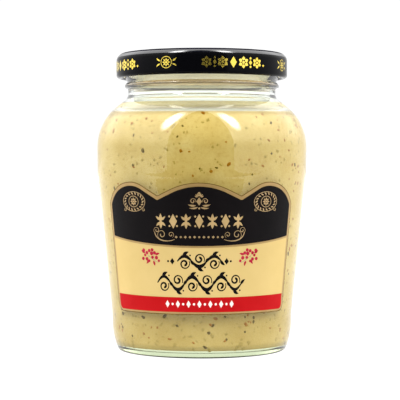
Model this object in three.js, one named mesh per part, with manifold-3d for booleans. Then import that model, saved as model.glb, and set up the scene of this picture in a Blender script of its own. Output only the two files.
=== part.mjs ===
// A glass jar of grainy mustard with a twist-off metal lid and a wrap-round front label.
// Millimetres, +Z up. The jar stands on z = 0 with its axis on Z, and the label faces -Y.

import * as THREE from 'three';
import { mergeVertices } from 'three/addons/utils/BufferGeometryUtils.js';
import Module from 'manifold-3d';

const wasm = await Module();
wasm.setup();

const degrees = Math.PI / 180;
const point = (radius, height) => new THREE.Vector2(radius, height);

// Underside of the glass: a flat contact ring round a shallow hollow
const ringInner = 27.6;
const ringOuter = 31.3;
const hollowRise = 1.0;
const hollowEdgeRise = 0.6;
const hollowEdgeWidth = 2.2;

// Glass body: a bowed heel, a straight tapered label panel and a round shoulder
const heelCorner = 1.4;
const heelCornerTurn = 70;
const heelRadius = 34.65;
const heelHeight = 11.5;
const heelBow = 28.5;
const panelBottom = { radius: 34.75, height: 14.5 };
const panelTop = { radius: 39.85, height: 65.9 };
const panelStep = { radius: 40.2, height: 67.5 };
const bodyRadius = 40.4;
const bodyHeight = 77.7;
const shoulderBow = 20.5;
const shoulderTurn = 45;
const shoulderPitch = 0.81;

// Neck, bead and the threaded finish that the lid screws on
const neckRadius = 28.4;
const neckStart = 98.6;
const neckRootWidth = 1.3;
const beadHeight = 101.4;
const beadBase = 28.6;
const beadRadius = 1.15;
const finishRadius = 29.6;
const finishStart = 104.6;
const rimTop = 112.7;
const rimRounding = 1.2;
const threadStarts = 4;
const threadRadius = 1.3;
const threadHeight = 108.6;
const threadRise = 1.6;
const threadTurn = 64;

// Inside of the glass, whose wall thins from the shoulder to a ledge at the neck's root
const wall = 2.9;
const boreRadius = 27.0;
const boreStart = 98.0;
const neckLedge = point(30.1, 94.0);
const shoulderRun = 1.5;
const floorHeight = 2.2;
const floorCrown = 1.2;
const floorCorner = 3.2;

// Mustard
const clearance = 0.3;
const fillHeight = 89.8;
const fillWaveHeight = 0.45;
const fillWaveX = 5.1;
const fillWaveY = 6.3;

// Lid: a raised channel round a lower panel with a safety button, and a rolled lower edge
const lidRadius = 32.9;
const lidBottom = 104.3;
const lidTop = 113.9;
const lidCorner = 2.9;
const lidSheet = 0.6;
const curlRadius = 1.2;
const curlTurn = 225;
const channelInner = 26.3;
const panelRadius = 24.9;
const panelDrop = 1.0;
const buttonRadius = 10.5;
const buttonSlope = 1.0;
const buttonDrop = 0.4;
const lugRadius = 0.9;
const lugReach = 30.9;
const lugTurn = 22;

// Label, measured along the glass: a printed field inside an even border
const labelThickness = 0.3;
const labelBorder = 1.45;
const labelFieldHalf = 39.75;
const labelBottom = 16.4;
const labelCorner = 3.6;
const labelWrapRadius = 39.3;
const archTop = 63.15;
const archRadius = 23.4;
const archTurn = 25;
const lobeTop = 63.4;
const lobeOffset = 27.3;
const lobeInnerRadius = 9.3;
const lobeInnerTurn = 30;
const lobeOuterRadius = 14.5;

// Facets
const segments = 48;
const ribSteps = 8;
const ribQuarter = 5;
const labelColumns = 48;
const labelRows = 4;

// Points of a circular arc in the profile plane, with angles in degrees from straight outwards
function arc(centreRadius, centreHeight, size, from, to, steps) {
  const points = [];
  for (let step = 0; step <= steps; step += 1) {
    const angle = (from + ((to - from) * step) / steps) * degrees;
    points.push(point(centreRadius + size * Math.cos(angle), centreHeight + size * Math.sin(angle)));
  }
  return points;
}

// Points of a soft corner from start to end, drawn towards the sharp corner between them
function bend(start, corner, end, steps) {
  return new THREE.QuadraticBezierCurve(start, corner, end).getPoints(steps);
}

function revolve(profile) {
  return new THREE.LatheGeometry(profile, segments).rotateX(Math.PI / 2);
}

function toSolid(geometry) {
  const plain = geometry.clone();
  plain.deleteAttribute('normal');
  plain.deleteAttribute('uv');
  const merged = mergeVertices(plain, 1e-4);
  const corners = merged.index.array;
  const triangles = [];
  for (let first = 0; first < corners.length; first += 3) {
    const [a, b, c] = corners.slice(first, first + 3);
    if (a !== b && b !== c && c !== a) triangles.push(a, b, c);
  }
  return new wasm.Manifold(new wasm.Mesh({
    numProp: 3,
    vertProperties: new Float32Array(merged.attributes.position.array),
    triVerts: new Uint32Array(triangles),
  }));
}

function toGeometry(solid) {
  const mesh = solid.getMesh();
  const geometry = new THREE.BufferGeometry();
  geometry.setAttribute('position', new THREE.BufferAttribute(mesh.vertProperties, 3));
  geometry.setIndex(new THREE.BufferAttribute(mesh.triVerts, 1));
  geometry.computeVertexNormals();
  return geometry;
}

function join(base, additions) {
  let solid = toSolid(base);
  for (const addition of additions) solid = solid.add(toSolid(addition));
  return toGeometry(solid);
}

// A round rib that runs part of the way round the axis and rises evenly
function rib(reach, height, size, start, turn, rise) {
  const route = [];
  for (let step = 0; step <= ribSteps; step += 1) {
    const share = step / ribSteps;
    const angle = (start + turn * share) * degrees;
    const level = height + rise * (share - 0.5);
    route.push(new THREE.Vector3(reach * Math.cos(angle), reach * Math.sin(angle), level));
  }
  const section = new THREE.Shape();
  section.absarc(0, 0, size, 0, 2 * Math.PI, false);
  const extrudePath = new THREE.CatmullRomCurve3(route);
  return new THREE.ExtrudeGeometry(section, { steps: ribSteps, curveSegments: ribQuarter, extrudePath });
}

function undersideProfile() {
  return [
    point(0, hollowRise),
    point(ringInner / 2, hollowRise),
    point(ringInner - hollowEdgeWidth, hollowEdgeRise),
    point(ringInner, 0),
  ];
}

function bodyProfile() {
  const lean = 90 - heelCornerTurn;
  return [
    ...arc(ringOuter, heelCorner, heelCorner, -90, -lean, 3),
    ...arc(heelRadius - heelBow, heelHeight, heelBow, -lean + 2, 0, 3),
    point(panelBottom.radius, panelBottom.height),
    point(panelTop.radius, panelTop.height),
    point(panelStep.radius, panelStep.height),
    ...arc(bodyRadius - shoulderBow, bodyHeight, shoulderBow, 0, shoulderTurn, 6),
  ];
}

// Height at a radius on the straight slope that carries the shoulder on towards the neck
function slopeHeightAt(at) {
  const radius = bodyRadius - shoulderBow + shoulderBow * Math.cos(shoulderTurn * degrees);
  const height = bodyHeight + shoulderBow * Math.sin(shoulderTurn * degrees);
  return height + (radius - at) * shoulderPitch;
}

function neckProfile() {
  const foot = neckRadius + neckRootWidth;
  const root = bend(
    point(foot, slopeHeightAt(foot)),
    point(neckRadius, slopeHeightAt(neckRadius)),
    point(neckRadius, neckStart),
    3,
  );
  return [...root, ...arc(beadBase, beadHeight, beadRadius, -90, 90, 5)];
}

function finishProfile() {
  const roundingHeight = rimTop - rimRounding;
  return [
    point(finishRadius, finishStart),
    ...arc(finishRadius - rimRounding, roundingHeight, rimRounding, 0, 90, 3),
    ...arc(boreRadius + rimRounding, roundingHeight, rimRounding, 90, 180, 3),
  ];
}

// The inside of the neck, even in thickness down to the ledge and thickening below it
function boreProfile(shoulderEnd) {
  const upperCorner = point(boreRadius, neckLedge.y + (neckLedge.x - boreRadius) * shoulderPitch);
  const lowerCorner = point(shoulderEnd.x - shoulderRun, shoulderEnd.y + shoulderRun);
  return [
    ...bend(point(boreRadius, boreStart), upperCorner, neckLedge, 3),
    ...bend(neckLedge, lowerCorner, shoulderEnd, 3).slice(1, -1),
  ];
}

// From the inner shoulder down to the middle of the floor, moved in from the glass by a gap
function cavityProfile(gap, turn) {
  const inset = wall + gap;
  const side = heelRadius - inset;
  const floor = floorHeight + gap;
  return [
    ...arc(bodyRadius - shoulderBow, bodyHeight, shoulderBow - inset, turn, 0, 5),
    point(panelTop.radius - inset, panelTop.height),
    ...arc(side - floorCorner, floor + floorCorner, floorCorner, 0, -90, 4),
    point(0, floor + floorCrown),
  ];
}

function glassJar() {
  const cavity = cavityProfile(0, shoulderTurn);
  const profile = [
    ...undersideProfile(),
    ...bodyProfile(),
    ...neckProfile(),
    ...finishProfile(),
    ...boreProfile(cavity[0]),
    ...cavity,
  ];
  const threads = [];
  for (let start = 0; start < threadStarts; start += 1) {
    const angle = (360 / threadStarts) * start;
    threads.push(rib(finishRadius, threadHeight, threadRadius, angle, threadTurn, threadRise));
  }
  return join(revolve(profile), threads);
}

// Food up to a level on the shoulder just below the neck, with broad waves over its top
function mustard() {
  const bow = shoulderBow - wall - clearance;
  const side = cavityProfile(clearance, Math.asin((fillHeight - bodyHeight) / bow) / degrees);
  const edge = side[0].x;
  const top = [point(0, fillHeight), point(edge / 3, fillHeight), point((edge * 2) / 3, fillHeight)];
  const profile = [...top, ...side];
  const geometry = revolve(profile.reverse());
  const places = geometry.attributes.position;
  for (let index = 0; index < places.count; index += 1) {
    const x = places.getX(index);
    const y = places.getY(index);
    const inside = Math.hypot(x, y) < edge - clearance;
    if (!inside || places.getZ(index) < fillHeight - clearance) continue;
    const wave = Math.sin(x / fillWaveX) * Math.cos(y / fillWaveY);
    places.setZ(index, fillHeight + fillWaveHeight * wave);
  }
  return geometry;
}

function lid() {
  const panelLevel = lidTop - panelDrop;
  const cornerRadius = lidRadius - lidCorner;
  const cornerLevel = lidTop - lidCorner;
  const curlLevel = lidBottom + curlRadius;
  const outside = [
    point(0, panelLevel - buttonDrop),
    point(buttonRadius - buttonSlope, panelLevel - buttonDrop),
    point(buttonRadius, panelLevel),
    point(panelRadius, panelLevel),
    point(channelInner, lidTop),
    ...arc(cornerRadius, cornerLevel, lidCorner, 90, 0, 5),
  ];
  const curl = arc(lidRadius - curlRadius, curlLevel, curlRadius, 0, -curlTurn, 8);
  const inside = [
    point(lidRadius - lidSheet, curlLevel + curlRadius),
    ...arc(cornerRadius, cornerLevel, lidCorner - lidSheet, 0, 90, 4),
    point(channelInner, lidTop - lidSheet),
    point(panelRadius, panelLevel - lidSheet),
    point(0, panelLevel - buttonDrop - lidSheet),
  ];
  const lugs = [];
  for (let turn = 0; turn < threadStarts; turn += 1) {
    const angle = (360 / threadStarts) * (turn + 0.5);
    lugs.push(rib(lugReach, curlLevel, lugRadius, angle, lugTurn, 0));
  }
  return join(revolve([...outside, ...curl, ...inside].reverse()), lugs);
}

// Height of a round hill at a distance from its top, its side running on straight past a turn
function hill(distance, top, radius, turn, border) {
  const reach = radius + border;
  const limit = reach * Math.sin(turn * degrees);
  const centre = top - radius;
  if (distance < limit) return centre + Math.sqrt(reach ** 2 - distance ** 2);
  return centre + reach * Math.cos(turn * degrees) - (distance - limit) * Math.tan(turn * degrees);
}

// Upper edge of the label: a wide arch between two round lobes
function labelTopAt(across) {
  const arch = hill(Math.abs(across), archTop, archRadius, archTurn, labelBorder);
  const beside = Math.abs(across) - lobeOffset;
  const lobe = beside < 0
    ? hill(-beside, lobeTop, lobeInnerRadius, lobeInnerTurn, labelBorder)
    : hill(beside, lobeTop, lobeOuterRadius, 90, labelBorder);
  return Math.max(arch, lobe);
}

// Lower edge of the label, straight with a quarter round at each end
function labelBottomAt(across, half) {
  const pastCorner = Math.abs(across) - (half - labelCorner);
  const intoCorner = Math.min(Math.max(pastCorner, 0), labelCorner);
  return labelBottom + labelCorner - Math.sqrt(labelCorner ** 2 - intoCorner ** 2);
}

function panelRadiusAt(height) {
  const share = (height - panelBottom.height) / (panelTop.height - panelBottom.height);
  return panelBottom.radius + share * (panelTop.radius - panelBottom.radius);
}

// A thin box bent onto the label panel, its columns closest together near the side edges
function label() {
  const half = labelFieldHalf + labelBorder;
  const geometry = new THREE.BoxGeometry(2, 1, 1, labelColumns, labelRows, 1);
  const places = geometry.attributes.position;
  for (let index = 0; index < places.count; index += 1) {
    const across = half * Math.sin((places.getX(index) * Math.PI) / 2);
    const low = labelBottomAt(across, half);
    const high = labelTopAt(across);
    const height = low + (high - low) * (places.getY(index) + 0.5);
    const outward = clearance + labelThickness * (places.getZ(index) + 0.5);
    const radius = panelRadiusAt(height) + outward;
    const angle = across / labelWrapRadius;
    places.setXYZ(index, radius * Math.sin(angle), -radius * Math.cos(angle), height);
  }
  return geometry;
}

function piece(name, geometry, color, roughness, metalness) {
  const mesh = new THREE.Mesh(geometry, new THREE.MeshStandardMaterial({ color, roughness, metalness }));
  mesh.name = name;
  return mesh;
}

const group = new THREE.Group();
group.add(piece('glass_jar', glassJar(), 0xdfe9df, 0.05, 0));
group.add(piece('mustard', mustard(), 0xe3cd8c, 0.5, 0));
group.add(piece('lid', lid(), 0x17171d, 0.2, 0.3));
group.add(piece('label', label(), 0x1c181c, 0.35, 0));

export default group;
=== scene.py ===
# A shut glass jar of grainy mustard with a black twist-off lid and a wrapped front label.
# The sizes repeat those of the part's source, in millimetres, and meshes are scaled to metres.

import math
import random

import bmesh
import bpy
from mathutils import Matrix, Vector, noise


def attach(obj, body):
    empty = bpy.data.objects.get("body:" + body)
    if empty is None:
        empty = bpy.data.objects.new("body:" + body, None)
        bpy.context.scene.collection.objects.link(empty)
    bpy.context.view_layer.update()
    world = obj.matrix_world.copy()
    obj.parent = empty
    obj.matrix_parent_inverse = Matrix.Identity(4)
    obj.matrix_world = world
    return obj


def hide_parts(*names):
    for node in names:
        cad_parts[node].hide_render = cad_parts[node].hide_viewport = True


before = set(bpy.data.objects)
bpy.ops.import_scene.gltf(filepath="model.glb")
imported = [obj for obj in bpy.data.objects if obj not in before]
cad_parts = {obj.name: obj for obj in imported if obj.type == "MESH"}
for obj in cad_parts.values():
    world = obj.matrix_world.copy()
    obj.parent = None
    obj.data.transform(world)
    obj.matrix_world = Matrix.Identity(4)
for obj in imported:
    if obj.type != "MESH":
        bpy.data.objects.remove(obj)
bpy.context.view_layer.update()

METRES = 0.001

# Underside of the glass
RING_INNER = 27.6
RING_OUTER = 31.3
HOLLOW_RISE = 1.0
HOLLOW_EDGE = (-2.2, 0.6)
HOLLOW_LIP = (-0.6, 0.4)
# Below this height the outer edge of the foot is painted dark, as shade where the glass meets the floor.
FOOT_SHADE_HEIGHT = 0.55

# Glass body. The step's two offsets soften its start and its end.
HEEL_CORNER = 1.4
HEEL_CORNER_TURN = 70
HEEL_RADIUS = 34.65
HEEL_HEIGHT = 11.5
HEEL_BOW = 28.5
PANEL_BOTTOM = (34.75, 14.5)
PANEL_TOP = (39.85, 65.9)
PANEL_STEP = (40.2, 67.5)
STEP_BEFORE = (-0.1, -0.7)
STEP_AFTER = (0.05, 0.6)
BODY_RADIUS = 40.4
BODY_HEIGHT = 77.7
SHOULDER_BOW = 20.5
SHOULDER_TURN = 45
SHOULDER_PITCH = 0.81

# Neck and finish. The threads start just past an edge of the wall's facets.
NECK_RADIUS = 28.4
NECK_START = 98.6
NECK_ROOT_WIDTH = 1.3
BEAD_HEIGHT = 101.4
BEAD_BASE = 28.6
BEAD_RADIUS = 1.15
FINISH_RADIUS = 29.6
FINISH_START = 104.6
RIM_TOP = 112.7
RIM_ROUNDING = 1.2
THREAD_STARTS = 4
THREAD_RADIUS = 1.3
THREAD_HEIGHT = 108.6
THREAD_RISE = 1.6
THREAD_OFFSET = 0.7
THREAD_TURN = 64
RIB_TIP = 0.15
RIB_TAPER = 6

# Inside of the glass
WALL = 2.9
BORE_RADIUS = 27.0
BORE_START = 98.0
NECK_LEDGE = (30.1, 94.0)
SHOULDER_RUN = 1.5
FLOOR_HEIGHT = 2.2
FLOOR_CROWN = 1.2
FLOOR_CORNER = 3.2

# Mustard, pressed just into the wall so that no air shows between them, and lifted off the floor by a hair,
# so that the thick bottom of the glass gleams. Its waves and lumps fade out towards the wall.
FILL_HEIGHT = 89.8
FILL_WAVE_HEIGHT = 0.45
FILL_WAVE_X = 5.1
FILL_WAVE_Y = 6.3
LUMP_WIDTH = 2.3
LUMP_HEIGHT = 0.25
FILL_FADE = 2.0
FILL_EDGE = 0.2
FILL_RINGS = 30
# Top faces within this depth of the fill line, and facing up by at least the next share, are painted paler
# as painted light.
TOP_LIGHT_DEPTH = 1.0
TOP_FACING = 0.7
TOLERANCE = 0.01
FOOD_BITE = 0.1
FOOD_LIFT = 0.12
FOOD_CONTACT = 2.9

# Specks: those of the lower zone are closest together, and the ones at the very bottom are swollen
SPECK_LOW_ZONE = (3.4, 22.0)
SPECK_HIGH_ZONE = (20.0, FILL_HEIGHT - 0.6)
SPECK_SWOLLEN_BELOW = 6
SPECK_SWELL = 1.5
SPECK_STRETCH = 1.7
SLOPE_REACH = 0.4

# Lid. The crests and feet are how far the soft corners of the button and of the raised ring reach. The
# pale lining is on faces that turn in or down by more than these shares.
LID_RADIUS = 32.9
LID_BOTTOM = 104.3
LID_TOP = 113.9
LID_CORNER = 2.9
LID_SHEET = 0.6
CURL_RADIUS = 1.2
CURL_TURN = 225
CHANNEL_INNER = 26.3
PANEL_RADIUS = 24.9
PANEL_DROP = 1.0
BUTTON_RADIUS = 10.5
BUTTON_SLOPE = 1.0
BUTTON_DROP = 0.4
BUTTON_CREST = 1.7
BUTTON_FOOT = 0.7
CHANNEL_FOOT = 0.6
CHANNEL_PULL = 0.3
CHANNEL_CREST = 0.7
LID_RIM_DEPTH = 0.65
LID_GLOSS_DEPTH = 1.9
LINING_OUTWARD = -0.2
LINING_UPWARD = -0.3
LINING_START = LID_BOTTOM + 0.72
LUG_RADIUS = 0.9
LUG_REACH = 30.9
LUG_TURN = 22
LUG_OFFSET = 45
LID_PRINT_LEVEL = 108.6
LID_INK_SINK = 0.01
LID_INK = 0.04
FRIEZE_TURN = 22
FRIEZE_INNER_FLOWER = 4.1
FRIEZE_BEADS = 7.1
FRIEZE_OUTER_FLOWER = 10.1
FRIEZE_END = 13.2

# Label. The lower line of the black field and the upper line of the red one are given by their heights in
# the middle and at the sides.
LABEL_BORDER = 1.45
# The width of the paper's dark outermost rim, a painted shadow line round the label.
LABEL_SHADOW_RIM = 0.3
LABEL_FIELD_HALF = 39.75
LABEL_BOTTOM = 16.4
LABEL_CORNER = 3.6
LABEL_WRAP_RADIUS = 39.3
ARCH_TOP = 63.15
ARCH_RADIUS = 23.4
ARCH_TURN = 25
LOBE_TOP = 63.4
LOBE_OFFSET = 27.3
LOBE_INNER_RADIUS = 9.3
LOBE_INNER_TURN = 30
LOBE_OUTER_RADIUS = 14.5
BLACK_BOTTOM = (41.6, 44.7)
RED_TOP = (22.8, 23.05)
RED_BORDER_SHARE = 0.66
CREAM_GAP = 0.7
HAIR = 0.02
CORNER_LIFT = 0.45
CORNER_LIFT_REACH = 6.0
PAPER = 0.12
INK = 0.03
FIELD_INK = 0.05

# Places of the label's ornaments
MEDALLION_PLACE = (26.3, 57.6)
CREST_PLACE = (0, 57.6)
BOLD_PLACE = (0, 50.6)
SCROLLS_PLACE = (0, 46.4)
SPRIG_PLACE = (19.6, 37.6)
FLOURISH_PLACE = (0, 31.0)
WHITE_PLACE = (0, 20.3)
SPRIG_SEED = 11

# Heights between which colours change: in the glass its foot, and its neck, where shade and a reflection are
# painted; in the mustard its lower part, painted darker as shade
FOOT_TINT = (0, 5)
NECK_PAINTED_LIGHT = (85, 105)
TINT_CHANGE = (40, 41)
LOW_SHADE_HEIGHTS = (14, 32)

# Camera, in metres
CAMERA_DISTANCE = 0.569
CAMERA_HEIGHT = 0.0695
CAMERA_TURN = 1.4
AIM = (-0.0007, 0.0575)
LENS = 132.3
SENSOR = 36

# Studio. The walls and the lamp are given as brightnesses and the lamp's place as directions. The lamp's
# edge is where it starts and ends to fade, as shares of its size. The floor, the mat and the screen, given
# by its half width at three heights, are in metres.
WALLS = 1.05
LOW_WALLS = 1.3
BRIGHT_WALLS = 2.6
BRIGHT_HEIGHT = 0.35
BEHIND_FADE = (0.6, 0.93)
LAMP = 20.0
LAMP_AIM = (0.443, -0.428, 0.788)
LAMP_ACROSS = (0.695, 0.719, 0.0)
LAMP_ALONG = (-0.567, 0.548, 0.616)
LAMP_WIDTH = 0.09
LAMP_LENGTH = 0.3
LAMP_EDGE = (0.6, 1.4)
LAMP_SIDE_FADE = 0.1
FLOOR_REACH = 3.0
FLOOR_LEVEL = -0.0002
SCREEN_DISTANCE = 0.5
SCREEN_FOOT = (0.355, 0.001)
SCREEN_SHOULDER = (0.245, 1.5)
SCREEN_TIP = (0.035, 3.2)
MAT_FRONT = 0.16

SEGMENTS = 240


def beside(place, offset):
    return place[0] + offset[0], place[1] + offset[1]


def shares(steps):
    """Even steps from 0 to 1."""
    return [step / steps for step in range(steps + 1)]


def band(first, second, count):
    """Faces between two closed rings of points, given where each ring starts."""
    sides = [(side, (side + 1) % count) for side in range(count)]
    return [[first + side, first + after, second + after, second + side] for side, after in sides]


def around(centre, angle, width, height):
    """The place at an angle in radians on a circle or an oval about a centre."""
    return centre[0] + width * math.cos(angle), centre[1] + height * math.sin(angle)


def turned(radius, angle, height):
    """The point at a radius and a height, turned round the axis by an angle in radians."""
    return radius * math.cos(angle), radius * math.sin(angle), height


def weighted(weights, points):
    return tuple(sum(weight * place[axis] for weight, place in zip(weights, points)) for axis in (0, 1))


def arc(centre_radius, centre_height, size, start, end, steps):
    """Points of a circular arc in the profile plane, with angles in degrees from straight outwards."""
    points = []
    for step in range(steps + 1):
        angle = math.radians(start + (end - start) * step / steps)
        points.append(around((centre_radius, centre_height), angle, size, size))
    return points


def bend(start, corner, end, steps):
    """Points of a soft corner from start to end, drawn towards the sharp corner between them."""
    points = []
    for share in shares(steps):
        weights = ((1 - share) ** 2, 2 * share * (1 - share), share ** 2)
        points.append(weighted(weights, (start, corner, end)))
    return points


def shoulder_slope(bow):
    """Height at a radius, and radius at a height, on the straight slope above a shoulder of some bow."""
    centre = (BODY_RADIUS - SHOULDER_BOW, BODY_HEIGHT)
    radius, height = around(centre, math.radians(SHOULDER_TURN), bow, bow)
    return (lambda at: height + (radius - at) * SHOULDER_PITCH,
            lambda at: radius - (at - height) / SHOULDER_PITCH)


def glass_profile():
    lean = 90 - HEEL_CORNER_TURN
    outer_height, _ = shoulder_slope(SHOULDER_BOW)
    foot = NECK_RADIUS + NECK_ROOT_WIDTH
    cavity = cavity_profile(0)
    rounding = RIM_TOP - RIM_ROUNDING
    hollow_edge = beside((RING_INNER, 0), HOLLOW_EDGE)
    return [
        *bend((0, HOLLOW_RISE), (RING_INNER / 2, HOLLOW_RISE), hollow_edge, 10),
        *bend(hollow_edge, beside((RING_INNER, 0), HOLLOW_LIP), (RING_INNER, 0), 6)[1:],
        *arc(RING_OUTER, HEEL_CORNER, HEEL_CORNER, -90, -lean, 12),
        *arc(HEEL_RADIUS - HEEL_BOW, HEEL_HEIGHT, HEEL_BOW, -lean + 2, 0, 14),
        PANEL_BOTTOM,
        PANEL_TOP,
        *bend(PANEL_TOP, beside(PANEL_STEP, STEP_BEFORE), beside(PANEL_STEP, STEP_AFTER), 5)[1:],
        *arc(BODY_RADIUS - SHOULDER_BOW, BODY_HEIGHT, SHOULDER_BOW, 0, SHOULDER_TURN, 40),
        *bend((foot, outer_height(foot)), (NECK_RADIUS, outer_height(NECK_RADIUS)),
              (NECK_RADIUS, NECK_START), 10),
        *arc(BEAD_BASE, BEAD_HEIGHT, BEAD_RADIUS, -90, 90, 18),
        (FINISH_RADIUS, FINISH_START),
        *arc(FINISH_RADIUS - RIM_ROUNDING, rounding, RIM_ROUNDING, 0, 90, 8),
        *arc(BORE_RADIUS + RIM_ROUNDING, rounding, RIM_ROUNDING, 90, 180, 8),
        *bore_root(cavity[0]),
        *cavity[1:],
    ]


def bore_root(shoulder_end):
    """The inside of the neck's root: even in thickness at first, then thickening to the shoulder's wall."""
    radius, height = NECK_LEDGE
    upper_corner = (BORE_RADIUS, height + (radius - BORE_RADIUS) * SHOULDER_PITCH)
    lower_corner = (shoulder_end[0] - SHOULDER_RUN, shoulder_end[1] + SHOULDER_RUN)
    return [
        *bend((BORE_RADIUS, BORE_START), upper_corner, NECK_LEDGE, 14),
        *bend(NECK_LEDGE, lower_corner, shoulder_end, 18)[1:],
    ]


def cavity_profile(gap):
    """From the inner shoulder down to the middle of the floor, moved in from the glass by a gap."""
    inset = WALL + gap
    side = HEEL_RADIUS - inset
    floor = FLOOR_HEIGHT + gap
    crown = floor + FLOOR_CROWN
    return [
        *arc(BODY_RADIUS - SHOULDER_BOW, BODY_HEIGHT, SHOULDER_BOW - inset, SHOULDER_TURN, 0, 36),
        (PANEL_TOP[0] - inset, PANEL_TOP[1]),
        *arc(side - FLOOR_CORNER, floor + FLOOR_CORNER, FLOOR_CORNER, 0, -90, 16),
        *bend((side - FLOOR_CORNER, floor), (side / 2, crown), (0, crown), 8)[1:],
    ]


def revolve(profile):
    """Vertices and faces of a profile turned round the axis, with single points where it meets the axis."""
    vertices = []
    rings = []
    for radius, height in profile:
        count = SEGMENTS if radius > 1e-6 else 1
        rings.append([len(vertices) + step for step in range(count)])
        for step in range(count):
            vertices.append(turned(radius, 2 * math.pi * step / count, height))
    faces = []
    for lower, upper in zip(rings, rings[1:]):
        for step in range(SEGMENTS):
            after = step + 1
            corners = [lower[step % len(lower)], lower[after % len(lower)],
                       upper[after % len(upper)], upper[step % len(upper)]]
            faces.append(list(dict.fromkeys(corners)))
    return vertices, faces


def rib(reach, height, size, start, turn, rise, steps=24, round_steps=12):
    """A round rib, pointed at its ends, that runs part of the way round the axis and rises evenly."""
    vertices = []
    for share in shares(steps):
        angle = math.radians(start + turn * share)
        middle = (reach, height + rise * (share - 0.5))
        swell = size * min(1.0, RIB_TIP + RIB_TAPER * min(share, 1 - share))
        for side in range(round_steps):
            radius, level = around(middle, 2 * math.pi * (side + 0.5) / round_steps, swell, swell)
            vertices.append(turned(radius, angle, level))
    last = steps * round_steps
    faces = [list(range(round_steps))[::-1], list(range(last, last + round_steps))]
    for first in range(0, last, round_steps):
        faces += band(first, first + round_steps, round_steps)
    return vertices, faces


def ribs_round(offset, reach, height, size, turn, rise):
    """A rib for each thread start, all turned on by an offset in degrees."""
    pitch = 360 / THREAD_STARTS
    return [rib(reach, height, size, pitch * start + offset, turn, rise) for start in range(THREAD_STARTS)]


def merge(*parts):
    """One list of vertices and one of faces from several."""
    vertices = []
    faces = []
    for part_vertices, part_faces in parts:
        faces += [[corner + len(vertices) for corner in face] for face in part_faces]
        vertices += part_vertices
    return vertices, faces


def form(name, shape):
    """A mesh of the shape, in metres, with its faces pointing out."""
    vertices, faces = shape
    mesh = bpy.data.meshes.new(name)
    mesh.from_pydata([Vector(vertex) * METRES for vertex in vertices], [], faces)
    work = bmesh.new()
    work.from_mesh(mesh)
    bmesh.ops.recalc_face_normals(work, faces=work.faces)
    work.to_mesh(mesh)
    work.free()
    return mesh


def placed(name, data):
    thing = bpy.data.objects.new(name, data)
    bpy.context.scene.collection.objects.link(thing)
    return thing


def add_piece(name, shape, material, nodes=(), sharp=32):
    """Makes an object of the shape, smooth apart from its sharp edges, that moves with the body."""
    mesh = form(name, shape)
    mesh.shade_smooth()
    mesh.set_sharp_from_angle(angle=math.radians(sharp))
    mesh.materials.append(material)
    piece = placed(name, mesh)
    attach(piece, "root")
    if nodes:
        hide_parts(*nodes)
    return piece


# Materials

def shade(red, green, blue):
    """A display colour of 0 to 255 as the linear colour that the shader takes."""
    linear = []
    for value in (red, green, blue):
        value /= 255
        linear.append(value / 12.92 if value <= 0.04045 else ((value + 0.055) / 1.055) ** 2.4)
    return (*linear, 1.0)


class Wiring:
    """Short calls that add nodes to a shader tree."""

    def __init__(self, tree):
        self.nodes = tree.nodes
        self.links = tree.links

    def feed(self, node, inputs):
        """Sets a node's inputs, or links them where the value is another node's output."""
        for name, value in inputs.items():
            if isinstance(value, bpy.types.NodeSocket):
                self.links.new(value, node.inputs[name])
            else:
                node.inputs[name].default_value = value

    def add(self, kind, inputs, output, operation=None):
        """The output of a new node."""
        node = self.nodes.new(kind)
        if operation:
            node.operation = operation
        self.feed(node, inputs)
        return node.outputs[output]

    def math(self, operation, first, second=0.0):
        return self.add("ShaderNodeMath", {0: first, 1: second}, "Value", operation)

    def range(self, source, to_low, to_high, low=0.25, high=0.75, blend="LINEAR"):
        """The source's value, stretched from one range to another."""
        node = self.nodes.new("ShaderNodeMapRange")
        node.interpolation_type = blend
        self.feed(node, {"Value": source, "From Min": low, "From Max": high})
        self.feed(node, {"To Min": to_low, "To Max": to_high})
        return node.outputs["Result"]

    def step(self, source, low, high, at_low=0.0, at_high=1.0):
        """A smooth step of the source's value from low to high."""
        return self.range(source, at_low, at_high, low, high, "SMOOTHSTEP")


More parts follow.
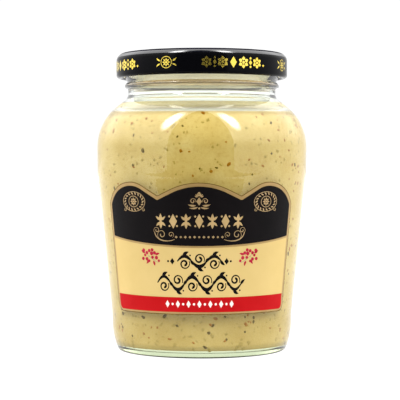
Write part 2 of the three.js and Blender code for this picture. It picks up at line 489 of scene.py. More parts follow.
class Finish(Wiring):
    """A material with one main shader, whose colour, roughness and relief can be made to vary."""

    def __init__(self, name, color, roughness, **sockets):
        self.material = bpy.data.materials.new(name)
        self.material.use_nodes = True
        super().__init__(self.material.node_tree)
        self.shader = self.nodes["Principled BSDF"]
        self.feed(self.shader, {"Base Color": shade(*color), "Roughness": roughness})
        self.feed(self.shader, {socket.replace("_", " "): value for socket, value in sockets.items()})
        self.place = self.add("ShaderNodeTexCoord", {}, "Object")

    def noise(self, size, detail=3.0, roughness=0.55):
        """A noise pattern whose features are about size millimetres wide."""
        scale = 1 / (size * METRES)
        inputs = {"Vector": self.place, "Scale": scale, "Detail": detail, "Roughness": roughness}
        return self.add("ShaderNodeTexNoise", inputs, "Fac")

    def ramp(self, source, stops):
        """Colours at places along the source's value."""
        ramp = self.nodes.new("ShaderNodeValToRGB")
        elements = ramp.color_ramp.elements
        elements[0].position = stops[0][0]
        elements[1].position = stops[-1][0]
        for position, _ in stops[1:-1]:
            elements.new(position)
        for element, (_, color) in zip(elements, stops):
            element.color = shade(*color)
        self.feed(ramp, {"Fac": source})
        return ramp.outputs["Color"]

    def mix(self, share, first, second):
        mixer = self.nodes.new("ShaderNodeMix")
        mixer.data_type = "RGBA"
        self.feed(mixer, {"Factor": share, "A": first, "B": second})
        return mixer.outputs["Result"]

    def climb(self, heights, to_low=0.0, to_high=1.0):
        """A value that runs evenly between two heights in millimetres."""
        height = self.add("ShaderNodeSeparateXYZ", {"Vector": self.place}, "Z")
        low, high = heights
        return self.range(height, to_low, to_high, low * METRES, high * METRES)

    def color(self, source):
        self.feed(self.shader, {"Base Color": source})
        return self

    def mottle(self, size, detail, first, second):
        """Two colours in patches about size millimetres wide."""
        return self.color(self.ramp(self.noise(size, detail), [(0.3, first), (0.7, second)]))

    def rough(self, source, low, high):
        self.feed(self.shader, {"Roughness": self.range(source, low, high)})
        return self

    def relief(self, source, depth):
        """Raises the surface by up to depth millimetres where the source is high."""
        inputs = {"Height": source, "Distance": depth * METRES, "Strength": 1.0}
        self.feed(self.shader, {"Normal": self.add("ShaderNodeBump", inputs, "Normal")})
        return self


def glass_finish():
    """Clear glass: green in its thick bottom, greyish at the root of the neck as painted shade and tan in
    the bead as a painted reflection.
    """
    clear = (250, 254, 249)
    green = (215, 229, 190)
    neck_painted_shade = (192, 190, 168)
    bead_painted_reflection = (188, 172, 144)
    finish = Finish("glass", clear, 0.0, Transmission_Weight=1.0, IOR=1.5)
    low = finish.ramp(finish.climb(FOOT_TINT), [(0.4, green), (1.0, clear)])
    # Painted shade and reflection: a greyish band dims the glass at the neck's root, and a tan band in the
    # bead stands in for a reflection
    high = finish.ramp(finish.climb(NECK_PAINTED_LIGHT), [(0.2, clear), (0.26, neck_painted_shade), (0.34, neck_painted_shade), (0.37, clear),
                                                 (0.79, clear), (0.8, bead_painted_reflection), (0.86, bead_painted_reflection), (0.87, clear)])
    finish.color(finish.mix(finish.climb(TINT_CHANGE), low, high))
    return finish.relief(finish.noise(16, 1.0), 0.05).material


def foot_edge_shade_finish():
    """The lowest edge of the foot, painted as dark glass for the shade where the jar meets the floor."""
    finish = Finish("foot_edge", (36, 40, 26), 0.0, Transmission_Weight=1.0, IOR=1.1)
    finish.mottle(20, 2.0, (48, 52, 38), (60, 64, 50))
    return finish.relief(finish.noise(16, 1.0), 0.05).material


def mustard_finish():
    finish = Finish("mustard", (226, 200, 125), 0.45, Specular_IOR_Level=0.2)
    broad = finish.noise(9, 3.0)
    fine = finish.noise(1.1, 4.0, 0.65)
    pale = finish.ramp(broad, [(0.3, (177, 152, 79)), (0.55, (183, 160, 89)), (0.75, (189, 168, 102))])
    grainy = finish.ramp(broad, [(0.3, (164, 136, 62)), (0.7, (176, 150, 80))])
    share = finish.ramp(fine, [(0.5, (0, 0, 0)), (0.72, (255, 255, 255))])
    # Painted shade: the lower part of the mustard is painted darker towards the bottom, in place of dimmer
    # light there
    low_painted_shade = finish.ramp(broad, [(0.3, (157, 133, 60)), (0.7, (169, 147, 78))])
    low = finish.climb(LOW_SHADE_HEIGHTS, 0.7, 0.0)
    finish.color(finish.mix(low, finish.mix(share, pale, grainy), low_painted_shade))
    return finish.rough(fine, 0.4, 0.6).relief(fine, 0.12).material


def top_painted_light_finish():
    """The food's top, painted paler than the rest as painted light, so that the top, which the lid shades,
    looks brighter.
    """
    finish = Finish("mustard_top", (214, 201, 152), 0.5, Specular_IOR_Level=0.2)
    finish.mottle(4, 3.0, (208, 194, 142), (220, 208, 162))
    fine = finish.noise(1.1, 4.0)
    return finish.rough(fine, 0.4, 0.6).relief(fine, 0.12).material


def speck_finish(name, dark, light):
    finish = Finish(name, dark, 0.5, Specular_IOR_Level=0.05)
    tone = finish.noise(0.5, 3.0)
    finish.color(finish.ramp(tone, [(0.35, dark), (0.65, light)]))
    return finish.rough(tone, 0.4, 0.7).relief(tone, 0.05).material


def lacquer_finish(name, color, other, level):
    finish = Finish(name, color, 0.25, Specular_IOR_Level=level)
    fine = finish.noise(1.6, 4.0)
    finish.mottle(12, 2.0, color, other)
    return finish.rough(fine, 0.1, 0.18).relief(fine, 0.006).material


def printed_finish(name, color, other, roughness, grain, patch, **sockets):
    finish = Finish(name, color, roughness, **sockets)
    fine = finish.noise(grain, 4.0)
    finish.mottle(patch, 3.0, color, other)
    return finish.rough(fine, roughness - 0.08, roughness + 0.12).relief(fine, 0.01).material


def ink_finish(name, color, other):
    """Printed paper: an even colour with a faint tooth."""
    return printed_finish(name, color, other, 0.45, 0.7, 7, Specular_IOR_Level=0.045)


def foil_finish(name, color, other, metal=0.3, roughness=0.35):
    """Metallic ink or foil with fine grain."""
    return printed_finish(name, color, other, roughness, 0.6, 4, Metallic=metal)


GLASS = glass_finish()
FOOT_EDGE_SHADE = foot_edge_shade_finish()
MUSTARD = mustard_finish()
MUSTARD_TOP_PAINTED_LIGHT = top_painted_light_finish()
BLACK_LACQUER = lacquer_finish("black_lacquer", (6, 6, 8), (9, 9, 12), 0.045)
RIM_LACQUER = lacquer_finish("rim_lacquer", (9, 10, 16), (12, 13, 20), 0.9)
EDGE_LACQUER = lacquer_finish("edge_lacquer", (14, 14, 22), (20, 20, 30), 0.0)
TOP_LACQUER = lacquer_finish("top_lacquer", (8, 8, 12), (11, 11, 16), 0.07)
PALE_LACQUER = lacquer_finish("pale_lacquer", (244, 242, 234), (250, 248, 242), 0.4)
LID_GOLD = foil_finish("lid_gold", (232, 204, 78), (240, 216, 98), 0.9, 0.2)
PAPER_SHADOW_RIM = ink_finish("paper_shadow_rim", (96, 76, 38), (112, 90, 48))
PAPER_GOLD = foil_finish("paper_gold", (158, 128, 76), (170, 140, 86))
PRINT_GOLD = foil_finish("print_gold", (168, 140, 94), (180, 152, 106))
BOLD_GOLD = foil_finish("bold_gold", (186, 156, 104), (198, 170, 118))
BERRY_INK = ink_finish("berry_ink", (158, 22, 44), (186, 52, 74))
BLACK_INK = ink_finish("black_ink", (13, 11, 12), (17, 14, 15))
CREAM_INK = ink_finish("cream_ink", (200, 174, 112), (204, 178, 117))
RED_INK = ink_finish("red_ink", (171, 14, 18), (177, 18, 22))
WHITE_INK = ink_finish("white_ink", (230, 222, 210), (235, 229, 218))
STEM_INK = ink_finish("stem_ink", (150, 146, 110), (162, 156, 120))


# Jar, mustard and lid

def joined(base, additions):
    """The base shape with others joined to it as one solid."""
    helpers = [placed("helper", form("helper", part)) for part in (base, *additions)]
    for helper in helpers[1:]:
        union = helpers[0].modifiers.new("join", "BOOLEAN")
        union.operation = "UNION"
        union.solver = "EXACT"
        union.object = helper
    depsgraph = bpy.context.evaluated_depsgraph_get()
    result = bpy.data.meshes.new_from_object(helpers[0].evaluated_get(depsgraph))
    vertices = [tuple(vertex.co / METRES) for vertex in result.vertices]
    faces = [list(face.vertices) for face in result.polygons]
    for helper in helpers:
        bpy.data.objects.remove(helper)
    return vertices, faces


def glass_jar():
    threads = ribs_round(THREAD_OFFSET, FINISH_RADIUS, THREAD_HEIGHT, THREAD_RADIUS,
                         THREAD_TURN, THREAD_RISE)
    shape = joined(revolve(glass_profile()), threads)
    piece = add_piece("jar_glass", shape, GLASS, ["glass_jar"])
    piece.data.materials.append(FOOT_EDGE_SHADE)
    # The lowest outer faces of the foot get the dark finish: painted shade at the floor.
    for face in piece.data.polygons:
        middle = face.center / METRES
        if middle.z < FOOT_SHADE_HEIGHT and math.hypot(middle.x, middle.y) > RING_OUTER:
            face.material_index = 1
    piece.visible_shadow = False
    piece.visible_diffuse = False


def fill_swell(x, y):
    """How far the top of the food rises, with the source's broad waves and a fine lumpiness."""
    wave = math.sin(x / FILL_WAVE_X) * math.cos(y / FILL_WAVE_Y)
    lumps = noise.noise(Vector((x, y, 0)) / LUMP_WIDTH)
    return FILL_WAVE_HEIGHT * wave + LUMP_HEIGHT * lumps


def food_profile():
    """From the middle of the top, down the wall and to the middle of the underside, and the top's radius."""
    snug = cavity_profile(-FOOD_BITE)
    loose = cavity_profile(FOOD_LIFT)
    highest = FILL_HEIGHT - FILL_EDGE
    wall_side = [place for place in snug if place[0] > RING_INNER and FOOD_CONTACT < place[1] < highest]
    underside = [place for place in loose if place[0] <= RING_INNER or place[1] <= FOOD_CONTACT]
    edge = food_radius(FILL_HEIGHT)
    top = [(edge * ring / FILL_RINGS, FILL_HEIGHT) for ring in range(FILL_RINGS)]
    return [*top, (edge, FILL_HEIGHT), *wall_side, *underside], edge


def mustard():
    profile, edge = food_profile()
    vertices, faces = revolve(profile)
    lifted = []
    for x, y, z in vertices:
        reach = math.hypot(x, y)
        if z > FILL_HEIGHT - TOLERANCE and reach < edge - TOLERANCE:
            z = FILL_HEIGHT + fill_swell(x, y) * min(1.0, (edge - reach) / FILL_FADE)
        lifted.append((x, y, z))
    piece = add_piece("mustard_fill", (lifted, faces), MUSTARD, ["mustard"])
    piece.data.materials.append(MUSTARD_TOP_PAINTED_LIGHT)
    # The upward faces of the top get the paler finish: painted light.
    for face in piece.data.polygons:
        if face.center.z > (FILL_HEIGHT - TOP_LIGHT_DEPTH) * METRES and face.normal.z > TOP_FACING:
            face.material_index = 1


def food_radius(height):
    """Outer radius of the food at a height, from its profile."""
    profile = cavity_profile(-FOOD_BITE)
    for (upper_radius, upper), (lower_radius, lower) in zip(profile, profile[1:]):
        if lower <= height <= upper and upper > lower:
            share = (height - lower) / (upper - lower)
            return lower_radius + share * (upper_radius - lower_radius)
    _, radius_at = shoulder_slope(SHOULDER_BOW - WALL + FOOD_BITE)
    return radius_at(height)


def fleck(draw, centre, outward, size, flatness):
    """A small rounded husk chip lying against the glass: a squashed, uneven ball."""
    up = Vector((0, 0, 1))
    side = outward.cross(up).normalized()
    top = side.cross(outward)
    turn = draw.uniform(0, math.pi)
    long_way = side * math.cos(turn) + top * math.sin(turn)
    short_way = outward.cross(long_way)
    stretch = draw.uniform(1.0, SPECK_STRETCH)
    ball_rings = 5
    ball_sides = 8
    vertices = []
    for ring in range(1, ball_rings):
        polar = math.pi * ring / ball_rings
        for step in range(ball_sides):
            angle = 2 * math.pi * (step + 0.5 * (ring % 2)) / ball_sides
            uneven = draw.uniform(0.8, 1.15) * size / 2
            offset = (long_way * math.cos(angle) * math.sin(polar) * stretch
                      + short_way * math.sin(angle) * math.sin(polar)
                      + outward * math.cos(polar) * flatness)
            vertices.append(tuple(centre + offset * uneven))
    tip = len(vertices)
    last = tip - ball_sides
    vertices += [tuple(centre + outward * flatness * size / 2 * way) for way in (1, -1)]
    faces = []
    for step in range(ball_sides):
        after = (step + 1) % ball_sides
        faces += [[tip, step, after], [tip + 1, last + after, last + step]]
    for first in range(0, last, ball_sides):
        faces += band(first, first + ball_sides, ball_sides)
    return vertices, faces


def specks(kind, dark, light, seed, count, small, large, flatness, depth, low_share):
    """Flecks of one kind over the side of the food, more and larger towards the bottom."""
    draw = random.Random(seed)
    shapes = []
    for _ in range(count):
        zone = SPECK_LOW_ZONE if draw.random() < low_share else SPECK_HIGH_ZONE
        height = draw.uniform(*zone)
        angle = draw.uniform(0, 2 * math.pi)
        size = small + (large - small) * draw.random() ** 2
        size *= SPECK_SWELL if height < SPECK_SWOLLEN_BELOW else 1.0
        rise = food_radius(height + SLOPE_REACH) - food_radius(height - SLOPE_REACH)
        outward = Vector(turned(1, angle, -rise / (2 * SLOPE_REACH))).normalized()
        centre = Vector(turned(food_radius(height), angle, height)) - outward * depth * size
        shapes.append(fleck(draw, centre, outward, size, flatness))
    finish = speck_finish("speck_" + kind, dark, light)
    add_piece("specks_" + kind, merge(*shapes), finish, sharp=70)


def all_specks():
    specks("dark", (72, 56, 4), (104, 84, 12), seed=3, count=210,
           small=0.9, large=2.0, flatness=0.45, depth=0.12, low_share=0.34)
    specks("red", (132, 82, 8), (152, 104, 20), seed=5, count=290,
           small=0.8, large=1.7, flatness=0.45, depth=0.12, low_share=0.34)
    specks("grey", (138, 120, 52), (158, 136, 66), seed=7, count=1150,
           small=0.9, large=2.1, flatness=0.4, depth=0.16, low_share=0.32)


def lid_profile():
    panel_level = LID_TOP - PANEL_DROP
    corner_radius = LID_RADIUS - LID_CORNER
    corner_level = LID_TOP - LID_CORNER
    curl_level = LID_BOTTOM + CURL_RADIUS
    button_level = panel_level - BUTTON_DROP
    button_edge = BUTTON_RADIUS - BUTTON_SLOPE / 2
    button_middle = (button_edge, (button_level + panel_level) / 2)
    channel_middle = ((PANEL_RADIUS + CHANNEL_INNER) / 2, panel_level + PANEL_DROP / 2)
    outside = [
        (0, button_level),
        *bend((BUTTON_RADIUS - BUTTON_CREST, button_level), (button_edge, button_level), button_middle, 4),
        *bend(button_middle, (button_edge, panel_level), (BUTTON_RADIUS + BUTTON_FOOT, panel_level), 4)[1:],
        *bend((PANEL_RADIUS - CHANNEL_FOOT, panel_level), (PANEL_RADIUS + CHANNEL_PULL, panel_level),
              channel_middle, 5),
        *bend(channel_middle, (CHANNEL_INNER - CHANNEL_PULL, LID_TOP),
              (CHANNEL_INNER + CHANNEL_CREST, LID_TOP), 5)[1:],
        *arc(corner_radius, corner_level, LID_CORNER, 90, 0, 16),
    ]
    curl = arc(LID_RADIUS - CURL_RADIUS, curl_level, CURL_RADIUS, 0, -CURL_TURN, 20)
    inside = [
        (LID_RADIUS - LID_SHEET, curl_level + CURL_RADIUS),
        *arc(corner_radius, corner_level, LID_CORNER - LID_SHEET, 0, 90, 10),
        (CHANNEL_INNER, LID_TOP - LID_SHEET),
        (PANEL_RADIUS, panel_level - LID_SHEET),
        (0, button_level - LID_SHEET),
    ]
    return [*outside, *curl, *inside]


def lid():
    lugs = ribs_round(LUG_OFFSET, LUG_REACH, LID_BOTTOM + CURL_RADIUS, LUG_RADIUS, LUG_TURN, 0)
    shape = joined(revolve(lid_profile()), lugs)
    piece = add_piece("lid_shell", shape, BLACK_LACQUER, ["lid"])
    for finish in (PALE_LACQUER, RIM_LACQUER, TOP_LACQUER, EDGE_LACQUER):
        piece.data.materials.append(finish)
    inner_reach = LID_RADIUS - LID_SHEET / 2
    for face in piece.data.polygons:
        middle = face.center / METRES
        reach = math.hypot(middle.x, middle.y)
        outward = Vector((middle.x, middle.y, 0)).normalized().dot(face.normal)
        faces_in = outward < LINING_OUTWARD or face.normal.z < LINING_UPWARD
        if reach < inner_reach and faces_in and middle.z > LINING_START:
            face.material_index = 1
        elif reach < LID_RADIUS - LID_CORNER:
            face.material_index = 3
        elif middle.z > LID_TOP - LID_RIM_DEPTH:
            face.material_index = 4
        elif middle.z > LID_TOP - LID_GLOSS_DEPTH:
            face.material_index = 2


# Label fields

def hill(distance, top, radius, turn, border):
    """Height of a round hill at a distance from its top, its side running on straight past a turn."""
    turn = math.radians(turn)
    reach = radius + border
    limit = reach * math.sin(turn)
    centre = top - radius
    if distance < limit:
        return centre + math.sqrt(max(reach ** 2 - distance ** 2, 0))
    return centre + reach * math.cos(turn) - (distance - limit) * math.tan(turn)


def field_top(across, border):
    """Upper edge of the label or of a field inside it: a wide arch between two round lobes."""
    arch = hill(abs(across), ARCH_TOP, ARCH_RADIUS, ARCH_TURN, border)
    past_lobe = abs(across) - LOBE_OFFSET
    if past_lobe < 0:
        return max(arch, hill(-past_lobe, LOBE_TOP, LOBE_INNER_RADIUS, LOBE_INNER_TURN, border))
    return max(arch, hill(past_lobe, LOBE_TOP, LOBE_OUTER_RADIUS, 90, border))


def field_bottom(across, half, base, corner):
    """Lower edge, straight with a quarter round at each end."""
    past_corner = abs(across) - (half - corner)
    into_corner = min(max(past_corner, 0), corner)
    return base + corner - math.sqrt(corner ** 2 - into_corner ** 2)


def smile(across, middle, side):
    """Height of a line that sags in the middle."""
    return middle + (side - middle) * (across / LABEL_FIELD_HALF) ** 2


def panel_radius(height):
    """Radius of the glass behind the label."""
    share = (height - PANEL_BOTTOM[1]) / (PANEL_TOP[1] - PANEL_BOTTOM[1])
    return PANEL_BOTTOM[0] + share * (PANEL_TOP[0] - PANEL_BOTTOM[0])


def wrapped(radius, angle, height):
    """The point at an angle in radians from the middle of the front."""
    return radius * math.sin(angle), -radius * math.cos(angle), height


def on_label(across, height, outward):
    """A place on the label's face, whose lower right corner stands a little off the glass."""
    from_corner = math.hypot(LABEL_FIELD_HALF - across, height - LABEL_BOTTOM)
    lift = CORNER_LIFT * max(0.0, 1 - from_corner / CORNER_LIFT_REACH) ** 2
    return wrapped(panel_radius(height) + outward + lift, across / LABEL_WRAP_RADIUS, height)


def on_lid(across, height, outward):
    return wrapped(LID_RADIUS + outward, across / LID_RADIUS, height)


def field(half, low_edge, high_edge, base, thickness, columns=220, rows=40):
    """A closed thin sheet on the label between a lower and an upper edge, columns closest at the sides."""
    vertices = []
    for level in (base, base + thickness):
        for column in range(columns + 1):
            across = half * math.sin((column / columns - 0.5) * math.pi)
            low = low_edge(across)
            high = max(high_edge(across), low + HAIR)
            for row in range(rows + 1):
                vertices.append(on_label(across, low + (high - low) * row / rows, level))
    stride = rows + 1
    layer = len(vertices) // 2
    faces = []
    for column in range(columns):
        for row in range(rows):
            a = column * stride + row
            b = a + stride
            faces.append([a, a + 1, b + 1, b])
            faces.append([layer + a, layer + b, layer + b + 1, layer + a + 1])
    border = [column * stride for column in range(columns)]
    border += [columns * stride + row for row in range(rows)]
    border += [column * stride + rows for column in range(columns, 0, -1)]
    border += list(range(rows, 0, -1))
    for here, there in zip(border, border[1:] + border[:1]):
        faces.append([here, there, layer + there, layer + here])
    return vertices, faces


def label_fields():
    """The paper, whose dark outermost rim is a painted shadow line round the label, with its metallic edge
    inside that, and the three printed fields on it.
    """
    half = LABEL_FIELD_HALF
    outer = half + LABEL_BORDER
    corner = LABEL_CORNER
    red_bottom = LABEL_BOTTOM + LABEL_BORDER * RED_BORDER_SHARE

    paper = field(outer, lambda x: field_bottom(x, outer, LABEL_BOTTOM, corner),
                  lambda x: field_top(x, LABEL_BORDER), HAIR, PAPER)
    # Only the paper's rim shows past the gold, painted dark as the shadow at the label's edge.
    add_piece("label_paper", paper, PAPER_SHADOW_RIM, ["label"])
    inside = outer - LABEL_SHADOW_RIM
    gold = field(inside, lambda x: field_bottom(x, inside, LABEL_BOTTOM + LABEL_SHADOW_RIM, corner - LABEL_SHADOW_RIM),
                 lambda x: field_top(x, LABEL_BORDER - LABEL_SHADOW_RIM), PAPER, INK)
    add_piece("label_gold", gold, PAPER_GOLD)
    black = field(half, lambda x: smile(x, *BLACK_BOTTOM), lambda x: field_top(x, 0), PAPER, FIELD_INK)
    add_piece("label_black", black, BLACK_INK)
    cream = field(half, lambda x: smile(x, *RED_TOP), lambda x: smile(x, *BLACK_BOTTOM) - CREAM_GAP,
                  PAPER, FIELD_INK)
    add_piece("label_cream", cream, CREAM_INK)
    red = field(half, lambda x: field_bottom(x, half, red_bottom, corner - LABEL_BORDER),
                lambda x: smile(x, *RED_TOP) - HAIR, PAPER, FIELD_INK)
    add_piece("label_red", red, RED_INK)


# Ornaments, each a set of ribbons: points along a path and the ribbon's width at each

def ribbons_on(place, ribbons, base, thickness):
    """Closed thin strips laid on a curved surface."""
    vertices = []
    faces = []
    for path, widths, closed in ribbons:
        first = len(vertices)
        count = len(path)
        for index, (x, y) in enumerate(path):
            before = path[index - 1] if index or closed else path[index]
            after = path[(index + 1) % count] if index < count - 1 or closed else path[index]
            along = Vector((after[0] - before[0], after[1] - before[1])).normalized()
            half = max(widths[index], 0.04) / 2
            for way, level in ((1, base + thickness), (-1, base + thickness), (-1, base), (1, base)):
                vertices.append(place(x - along.y * half * way, y + along.x * half * way, level))
        spans = count if closed else count - 1
        for span in range(spans):
            faces += band(first + span * 4, first + (span + 1) % count * 4, 4)
        if not closed:
            faces.append([first + side for side in (3, 2, 1, 0)])
            faces.append([first + (count - 1) * 4 + side for side in range(4)])
    return vertices, faces


def curve(start, pull_start, pull_end, end, widths, steps=22):
    """A bezier stroke whose width runs evenly through the given widths."""
    path = []
    spread = []
    for share in shares(steps):
        rest = 1 - share
        weights = (rest ** 3, 3 * share * rest ** 2, 3 * share ** 2 * rest, share ** 3)
        path.append(weighted(weights, (start, pull_start, pull_end, end)))
        place = share * (len(widths) - 1)
        low = min(int(place), len(widths) - 2)
        spread.append(widths[low] + (widths[low + 1] - widths[low]) * (place - low))
    return path, spread, False


def leaf(base, angle, length, width, curl=0.0, steps=10):
    """A pointed leaf from its base, turned by an angle in degrees and curling by another."""
    path = [base]
    widths = [0.0]
    for step in range(1, steps + 1):
        heading = math.radians(angle + curl * (step - 0.5) / steps)
        path.append(around(path[-1], heading, length / steps, length / steps))
        widths.append(width * math.sin(math.pi * (step / steps) ** 0.8))
    return path, widths, False


def disc(centre, radius, steps=10):
    path = []
    widths = []
    for share in shares(steps):
        along = -math.cos(math.pi * share)
        path.append((centre[0] + radius * along, centre[1]))
        widths.append(2 * radius * math.sqrt(max(1 - along ** 2, 0)))
    return path, widths, False


def lozenge(centre, half_width, half_height):
    x, y = centre
    ways = [2 * share - 1 for share in shares(6)]
    widths = [2 * half_height * (1 - abs(way)) for way in ways]
    return [(x + half_width * way, y) for way in ways], widths, False


def oval(centre, half_width, half_height, width, steps=48):
    path = []
    for step in range(steps):
        angle = 2 * math.pi * step / steps
        path.append(around(centre, angle, half_width, half_height))
    return path, [width] * steps, True


def scroll(centre, size, start, turns, width, steps=30):
    """A spiral that winds in from its outer end and thickens towards its eye."""
    path = []
    widths = []
    for share in shares(steps):
        angle = math.radians(start) + 2 * math.pi * turns * share
        reach = size * (1 - 0.78 * share)
        path.append(around(centre, angle, reach, reach))
        widths.append(width * (0.35 + 0.65 * share))
    return path, widths, False


def mirrored(ribbons):
    """The ribbons and their mirror images about the upright middle line."""
    flipped = [([(-x, y) for x, y in path], widths, closed) for path, widths, closed in ribbons]
    return [*ribbons, *flipped]


def moved(ribbons, x, y):
    return [([(x + px, y + py) for px, py in path], widths, closed) for path, widths, closed in ribbons]


def rosette(petals, reach, width):
    """Round flower of pointed petals about a disc, centred on the origin."""
    ribbons = [disc((0, 0), reach * 0.24)]
    for petal in range(petals):
        angle = 360 / petals * petal + 90
        base = around((0, 0), math.radians(angle), reach * 0.32, reach * 0.32)
        ribbons.append(leaf(base, angle, reach * 0.68, width))
    return ribbons


def lobe_medallion():
    """A flower in an oval of small leaves, for the round lobes."""
    ribbons = rosette(8, 1.5, 0.62)
    ribbons.append(oval((0, 0), 2.3, 2.0, 0.22))
    leaves = 18
    for index in range(leaves):
        angle = 360 / leaves * (index + 0.5)
        base = around((0, 0), math.radians(angle), 3.9, 2.55)
        ribbons.append(leaf(base, angle + 55, 1.35, 0.5, -20))
    ribbons.append(oval((0, 0), 5.3, 3.6, 0.2))
    ribbons += mirrored([scroll((4.6, -2.9), 0.8, 90, 1.0, 0.3)])
    return ribbons


def crest():
    """A fan of leaves over a lozenge, flanked by scrolls."""
    ribbons = [lozenge((0, 0.2), 1.0, 1.5), disc((0, 3.2), 0.42)]
    ribbons.append(leaf((0, 2.05), 90, 0.9, 0.5))
    for angle, length in ((66, 1.25), (42, 1.3), (18, 1.2)):
        base = around((0, 1.6), math.radians(angle), 0.6, 0.45)
        ribbons += mirrored([leaf(base, angle, length, 0.5, 10)])
    ribbons += mirrored([
        scroll((2.3, 0.3), 1.15, 200, -1.2, 0.42),
        leaf((1.2, -1.3), -10, 3.0, 0.7, 35),
        leaf((0.5, -1.9), -25, 3.2, 0.6, 40),
    ])
    ribbons.append(disc((0, -2.3), 0.35))
    return ribbons


def bold_row():
    """The large metallic band: bold lozenges and paired leaves in turn."""
    ribbons = []
    pitch = 4.9
    for index in range(-3, 4):
        x = index * pitch
        if index % 2:
            for way in (1, -1):
                ribbons.append(leaf((x, 0.15 * way), 90 * way, 2.6, 1.15))
                ribbons += [leaf((x + 0.25 * side, 0.3 * way), 90 * way - 48 * side * way, 2.2, 0.85)
                            for side in (1, -1)]
            ribbons.append(disc((x, 0), 0.45))
        else:
            ribbons.append(lozenge((x, 0), 1.5, 2.7))
            ribbons += [disc((x + 1.45 * side, 1.75 * way), 0.36) for side in (1, -1) for way in (1, -1)]
    return ribbons


def scroll_border():
    """Volutes at both ends of a row of small beads and lozenges."""
    ribbons = []
    for index in range(-5, 6):
        place = (index * 1.75, -1.55)
        ribbons.append(lozenge(place, 0.55, 0.5) if index % 2 else disc(place, 0.38))
    ribbons += mirrored([
        curve((9.4, -2.4), (12.2, -3.6), (17.0, -3.2), (17.4, 0.2), (0.15, 0.4, 0.3)),
        scroll((16.5, 0.9), 1.3, -40, 1.2, 0.3),
        scroll((14.5, -0.7), 1.9, -60, 1.25, 0.34),
        scroll((10.8, -0.7), 1.2, 240, -1.2, 0.3),
    ])
    return ribbons


def vine(half, lobes, height):
    """A wavy stem with a scroll in each bend and leaves outside it."""
    path = []
    widths = []
    for share in shares(90):
        path.append((half * (2 * share - 1), height * math.sin(math.pi * lobes * share)))
        widths.append(0.45 + 1.0 * abs(math.sin(math.pi * lobes * share)) * math.sin(math.pi * share) ** 0.3)
    ribbons = [(path, widths, False)]
    pitch = 2 * half / lobes
    for lobe in range(lobes):
        x = half * (2 * lobe + 1) / lobes - half
        way = 1 if lobe % 2 == 0 else -1
        ribbons.append(scroll((x, -way * height * 0.45), pitch * 0.36, 30 * way, -1.35 * way, 0.95))
        ribbons.append(leaf((x - pitch * 0.1, way * height), 60 * way, pitch * 0.5, 1.25, -50 * way))
        ribbons.append(leaf((x + pitch * 0.42, way * height * 0.3), -70 * way, pitch * 0.5, 1.1, 50 * way))
        ribbons.append(disc((x + pitch * 0.38, way * height * 1.15), 0.33))
    return ribbons


def flourish():
    """Two tiers of vine scroll, a short one over a long one."""
    ribbons = moved(vine(17.2, 6, 2.4), 0, -3.0)
    ribbons += moved(vine(8.6, 3, 1.9), 0, 5.0)
    ribbons += mirrored([lozenge((10.6, 5.0), 0.9, 1.2), disc((12.3, 5.0), 0.4)])
    return ribbons


def sprig():
    """Stems with berries, as separate ribbon sets for the stems and the berries."""
    draw = random.Random(SPRIG_SEED)
    stems = [
        curve((-3.2, -2.2), (-1.0, -1.6), (0.8, 0.2), (3.0, 1.9), (0.2, 0.3, 0.2)),
        curve((-1.2, -1.4), (-1.6, 0.4), (-1.2, 1.4), (-0.6, 2.3), (0.2, 0.2)),
        curve((0.6, 0.0), (1.8, -0.6), (2.6, -0.9), (3.4, -0.8), (0.2, 0.2)),
    ]
    berries = []
    for x, y in ((-0.6, 2.2), (-1.5, 1.2), (-0.3, 1.0), (0.6, 1.9), (1.6, 1.2), (2.9, 2.0), (2.4, 0.4),
                 (3.3, -0.8), (1.7, -0.9), (-2.2, -0.4), (-3.1, -1.4), (-0.6, -0.3), (0.8, -1.5)):
        berries.append(disc((x * 1.1, y * 1.1), draw.uniform(0.5, 0.75)))
    for base, angle in (((1.0, -1.2), -65), ((-2.0, 0.6), 150), ((2.6, 1.2), 20), ((-1.0, -1.6), -120)):
        berries.append(leaf(base, angle, 2.0, 0.9, 25))
    return stems, berries


def white_row():
    ribbons = []
    for index in range(-6, 7):
        place = (index * 2.2, 0)
        ribbons.append(disc(place, 0.45) if index % 2 else lozenge(place, 0.85, 1.35))
    return ribbons


def print_on_label(name, ribbons, material, rise=1.0):
    """A print on the label, raised above the fields by its own thickness or more."""
    shape = ribbons_on(on_label, ribbons, PAPER + INK * rise, INK)
    add_piece(name, shape, material, sharp=25)


def label_ornaments():
    x, y = MEDALLION_PLACE
    metallic = moved(lobe_medallion(), -x, y) + moved(lobe_medallion(), x, y)
    metallic += moved(crest(), *CREST_PLACE)
    metallic += moved(scroll_border(), *SCROLLS_PLACE)
    print_on_label("label_print_gold", metallic, PRINT_GOLD)
    print_on_label("label_print_bold", moved(bold_row(), *BOLD_PLACE), BOLD_GOLD)
    print_on_label("label_flourish", moved(flourish(), *FLOURISH_PLACE), BLACK_INK)
    stems, berries = sprig()
    print_on_label("label_stems", mirrored(moved(stems, *SPRIG_PLACE)), STEM_INK)
    print_on_label("label_berries", mirrored(moved(berries, *SPRIG_PLACE)), BERRY_INK, rise=1.5)
    print_on_label("label_print_white", moved(white_row(), *WHITE_PLACE), WHITE_INK)


def bead_stack():
    """A lozenge between two beads, one above the other."""
    return [lozenge((0, 0), 0.7, 0.95), disc((0, 1.55), 0.42), disc((0, -1.55), 0.42)]


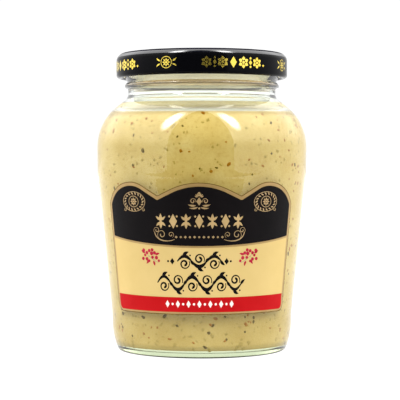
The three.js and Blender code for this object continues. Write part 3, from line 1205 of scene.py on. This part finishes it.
def lid_frieze():
    """Four long rows of lozenges and flowers alternating with four small round flowers on the skirt."""
    quarter = LID_RADIUS * math.pi / 2
    ribbons = []
    for turn in range(4):
        long_centre = quarter * turn + LID_RADIUS * math.radians(FRIEZE_TURN)
        round_centre = quarter * turn - LID_RADIUS * math.radians(FRIEZE_TURN)
        motif = [lozenge((0, 0), 1.3, 2.1)]
        motif += mirrored([
            *moved(rosette(6, 2.2, 1.3), FRIEZE_INNER_FLOWER, 0),
            *moved(bead_stack(), FRIEZE_BEADS, 0),
            *moved(rosette(6, 2.1, 1.25), FRIEZE_OUTER_FLOWER, 0),
        ])
        ribbons += moved(motif, long_centre, 0)
        ribbons.append(lozenge((long_centre + FRIEZE_END, -0.9), 0.5, 0.5))
        flower = rosette(8, 1.55, 0.5) + [oval((0, 0), 2.1, 2.1, 0.2)]
        flower += mirrored([leaf((2.5, 0.5), 20, 1.9, 0.55, 30), leaf((2.5, -0.5), -20, 1.9, 0.55, -30)])
        ribbons += moved(flower, round_centre, 0)
    return ribbons


def lid_print():
    shape = ribbons_on(on_lid, moved(lid_frieze(), 0, LID_PRINT_LEVEL), -LID_INK_SINK, LID_INK)
    add_piece("lid_print", shape, LID_GOLD, sharp=25)


# Studio

def camera():
    turn = math.radians(CAMERA_TURN)
    data = bpy.data.cameras.new("camera")
    data.lens = LENS
    data.sensor_width = SENSOR
    eye = placed("camera", data)
    eye.location = (CAMERA_DISTANCE * math.sin(turn), -CAMERA_DISTANCE * math.cos(turn), CAMERA_HEIGHT)
    aim = Vector((AIM[0] * math.cos(turn), AIM[0] * math.sin(turn), AIM[1]))
    eye.rotation_euler = (aim - eye.location).to_track_quat("-Z", "Y").to_euler()
    bpy.context.scene.camera = eye


def surround():
    """A white room, brightest towards the camera, with a tall lamp high on each side."""
    world = bpy.data.worlds.new("studio")
    bpy.context.scene.world = world
    world.use_nodes = True
    wiring = Wiring(world.node_tree)
    direction = wiring.add("ShaderNodeTexCoord", {}, "Generated")
    split = wiring.nodes.new("ShaderNodeSeparateXYZ")
    wiring.feed(split, {"Vector": direction})
    x, y, z = split.outputs
    front = wiring.step(z, 0.0, BRIGHT_HEIGHT, LOW_WALLS, BRIGHT_WALLS)
    behind = wiring.step(y, *BEHIND_FADE)
    walls = wiring.math("ADD", wiring.math("MULTIPLY", front, wiring.math("SUBTRACT", 1.0, behind)),
                        wiring.math("MULTIPLY", behind, WALLS))
    folded = wiring.add("ShaderNodeCombineXYZ", {"X": wiring.math("ABSOLUTE", x), "Y": y, "Z": z}, "Vector")

    def dot(constant):
        return wiring.add("ShaderNodeVectorMath", {0: folded, 1: constant}, "Value", "DOT_PRODUCT")

    across = wiring.math("DIVIDE", dot(LAMP_ACROSS), LAMP_WIDTH)
    along = wiring.math("DIVIDE", dot(LAMP_ALONG), LAMP_LENGTH)
    reach = wiring.math("SQRT", wiring.math("ADD", wiring.math("MULTIPLY", across, across),
                                            wiring.math("MULTIPLY", along, along)))
    in_front = wiring.step(dot(LAMP_AIM), 0.0, LAMP_SIDE_FADE)
    glow = wiring.math("MULTIPLY", wiring.step(reach, *LAMP_EDGE, LAMP, 0.0), in_front)
    total = wiring.math("ADD", walls, glow)
    wiring.feed(wiring.nodes["Background"], {"Color": (1, 1, 1, 1), "Strength": total})


def stage_piece(name, corners, faces, finish):
    mesh = bpy.data.meshes.new(name)
    mesh.from_pydata(corners, [], faces)
    mesh.materials.append(finish.material)
    thing = placed(name, mesh)
    return thing


def floor():
    """A seamless pale floor that glows, so that it stays white round the jar."""
    ways = ((-1, -1), (1, -1), (1, 1), (-1, 1))
    corners = [(FLOOR_REACH * x, FLOOR_REACH * y, FLOOR_LEVEL) for x, y in ways]
    finish = Finish("floor", (98, 98, 98), 0.8, Specular_IOR_Level=0.0,
                    Emission_Color=(1, 1, 1, 1), Emission_Strength=0.96)
    finish.rough(finish.noise(30), 0.75, 0.85)
    stage_piece("floor", corners, [(0, 1, 2, 3)], finish)


def dark_screen():
    """A black screen round the camera and a black mat before it. They darken what the jar mirrors."""
    corners = []
    for half, height in (SCREEN_FOOT, SCREEN_SHOULDER, SCREEN_TIP):
        corners += [(-half, -SCREEN_DISTANCE, height), (half, -SCREEN_DISTANCE, height)]
    half, level = SCREEN_FOOT
    corners += [(-half, -MAT_FRONT, level), (half, -MAT_FRONT, level)]
    finish = Finish("dark_cloth", (18, 18, 20), 0.9, Specular_IOR_Level=0.0)
    finish.rough(finish.noise(5), 0.85, 0.95)
    screen = stage_piece("dark_screen", corners, [(0, 1, 3, 2), (2, 3, 5, 4), (0, 1, 7, 6)], finish)
    screen.visible_camera = False
    screen.visible_transmission = False


def build():
    camera()
    glass_jar()
    mustard()
    all_specks()
    lid()
    lid_print()
    label_fields()
    label_ornaments()
    surround()
    floor()
    dark_screen()
    bpy.context.scene.view_settings.view_transform = "Standard"


build()
